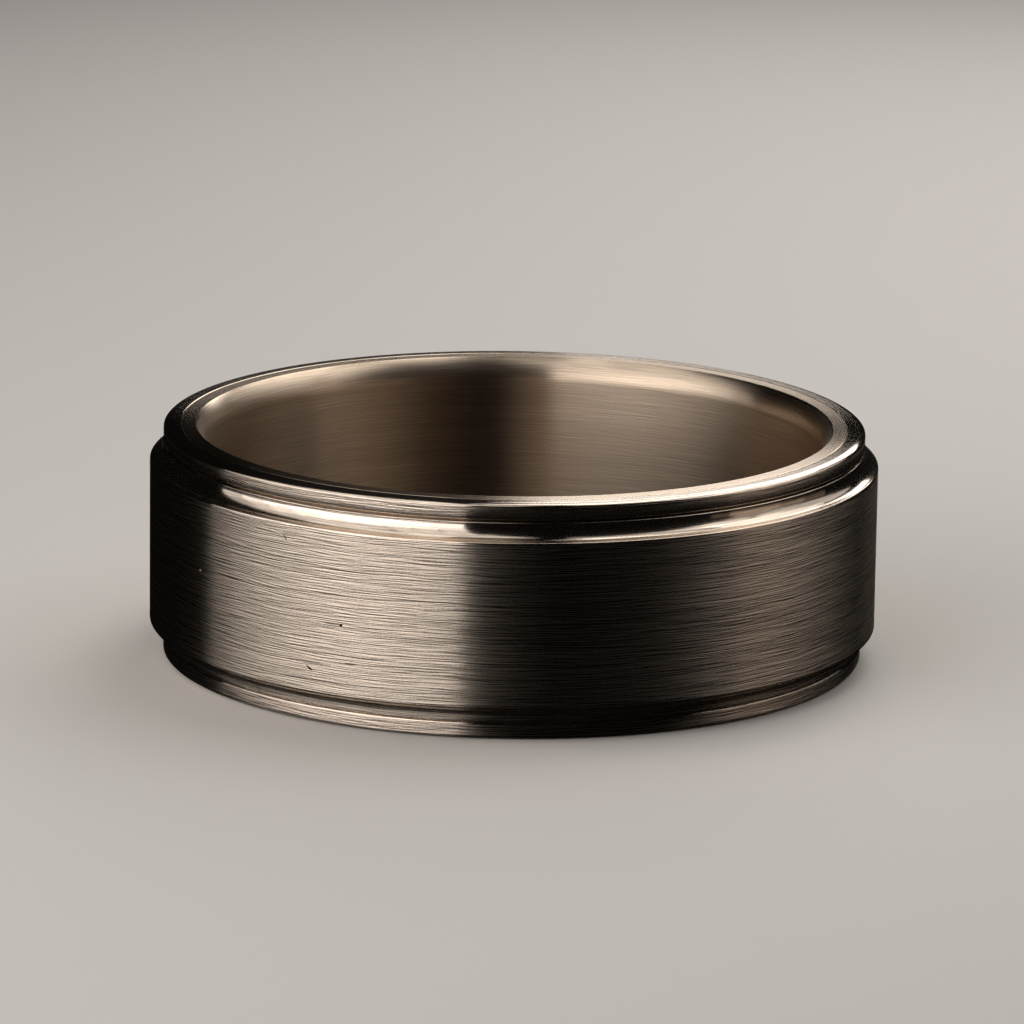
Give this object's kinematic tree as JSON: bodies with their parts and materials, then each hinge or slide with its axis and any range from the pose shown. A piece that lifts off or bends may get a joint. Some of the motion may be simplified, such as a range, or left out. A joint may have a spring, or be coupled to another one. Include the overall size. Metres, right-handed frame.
{
  "type": "wedding band",
  "caption": "Spinner wedding band in warm white gold: comfort-fit sleeve with polished rims and a raised brushed centre band that turns freely between them.",
  "frame": {"origin": "centre of the finger bore, halfway along its axis; the lower rim rests on a surface at z = -3.75 mm", "axes": "+Z along the ring's axis, up when the ring lies flat; +X and +Y across the bore"},
  "size_m": [0.0234, 0.0234, 0.0074],
  "materials": {
    "sleeve_gold": "warm white gold, fine turned satin with a polished comfort-fit curve",
    "rim_gold": "warm white gold, polished edges on a finely brushed rim",
    "band_gold": "warm white gold, lengthwise brushed wall between polished coves"
  },
  "bodies": {
    "sleeve": {"inner_sleeve": "sleeve_gold", "lower_rim": "rim_gold", "upper_rim": "rim_gold"},
    "band": {"spinner_band": "band_gold"}
  },
  "joints": [
    {"name": "band_spin", "type": "hinge", "parent": "sleeve", "child": "band", "pos_m": [0, 0, 0], "axis": [0, 0, 1], "continuous": true}
  ]
}
